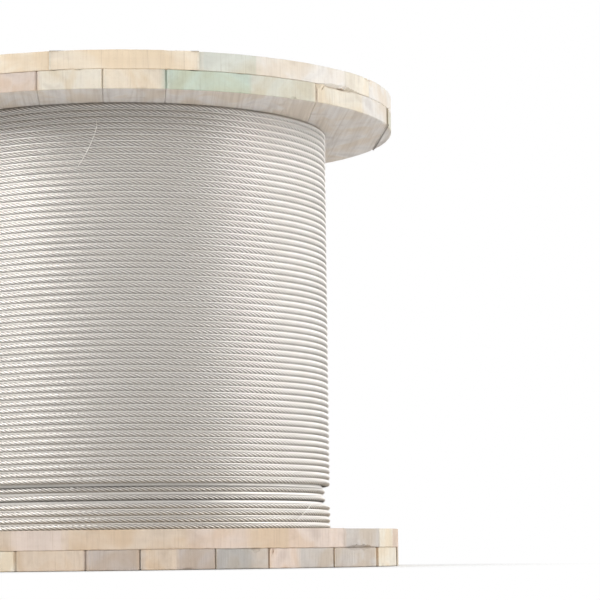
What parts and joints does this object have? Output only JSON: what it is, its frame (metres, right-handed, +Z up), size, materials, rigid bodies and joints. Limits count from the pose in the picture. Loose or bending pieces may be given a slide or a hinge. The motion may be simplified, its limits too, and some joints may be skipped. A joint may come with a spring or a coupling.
{
  "type": "reel of wire rope",
  "caption": "Timber reel with two-ply board flanges, wound full of thin stranded steel wire rope, standing on one flange.",
  "frame": {"origin": "centre of the bottom flange's lower face, on the floor the reel stands on", "axes": "+Z up along the reel's axis, -Y towards the front, +X to the right of someone facing the front"},
  "size_m": [0.75, 0.75, 0.65],
  "materials": {
    "pale_board": "dry sawn pine, bleached",
    "painted_board": "sawn pine with worn pale green paint",
    "grey_board": "weathered grey sawn pine",
    "barrel_board": "rough sawn pine",
    "wire_rope": "galvanised, dull",
    "hardware": "zinc gone dull, with a little rust"
  },
  "bodies": {
    "root": {"barrel_head_bottom": "barrel_board", "barrel_head_top": "barrel_board", "barrel_staves": "barrel_board", "bottom_inner_board_1": "pale_board", "bottom_inner_board_2": "grey_board", "bottom_inner_board_3": "pale_board", "bottom_inner_board_4": "pale_board", "bottom_inner_board_5": "pale_board", "bottom_inner_board_6": "pale_board", "bottom_inner_board_7": "grey_board", "bottom_inner_board_8": "pale_board", "bottom_inner_board_9": "pale_board", "bottom_outer_board_1": "pale_board", "bottom_outer_board_2": "pale_board", "bottom_outer_board_3": "pale_board", "bottom_outer_board_4": "pale_board", "bottom_outer_board_5": "grey_board", "bottom_outer_board_6": "pale_board", "bottom_outer_board_7": "grey_board", "bottom_outer_board_8": "pale_board", "bottom_outer_board_9": "grey_board", "bottom_outer_board_10": "pale_board", "bottom_outer_board_11": "pale_board", "rope_end": "wire_rope", "rope_staple_1": "hardware", "rope_staple_2": "hardware", "tie_bolt_1": "hardware", "tie_bolt_2": "hardware", "tie_bolt_3": "hardware", "tie_bolt_4": "hardware", "tie_nut_1": "hardware", "tie_nut_2": "hardware", "tie_nut_3": "hardware", "tie_nut_4": "hardware", "tie_washer_1": "hardware", "tie_washer_2": "hardware", "tie_washer_3": "hardware", "tie_washer_4": "hardware", "top_inner_board_1": "pale_board", "top_inner_board_2": "pale_board", "top_inner_board_3": "pale_board", "top_inner_board_4": "pale_board", "top_inner_board_5": "pale_board", "top_inner_board_6": "painted_board", "top_inner_board_7": "pale_board", "top_inner_board_8": "pale_board", "top_outer_board_1": "pale_board", "top_outer_board_2": "pale_board", "top_outer_board_3": "pale_board", "top_outer_board_4": "pale_board", "top_outer_board_5": "pale_board", "top_outer_board_6": "grey_board", "top_outer_board_7": "pale_board", "top_outer_board_8": "pale_board", "top_outer_board_9": "pale_board", "wire_rope": "wire_rope"}
  },
  "joints": []
}
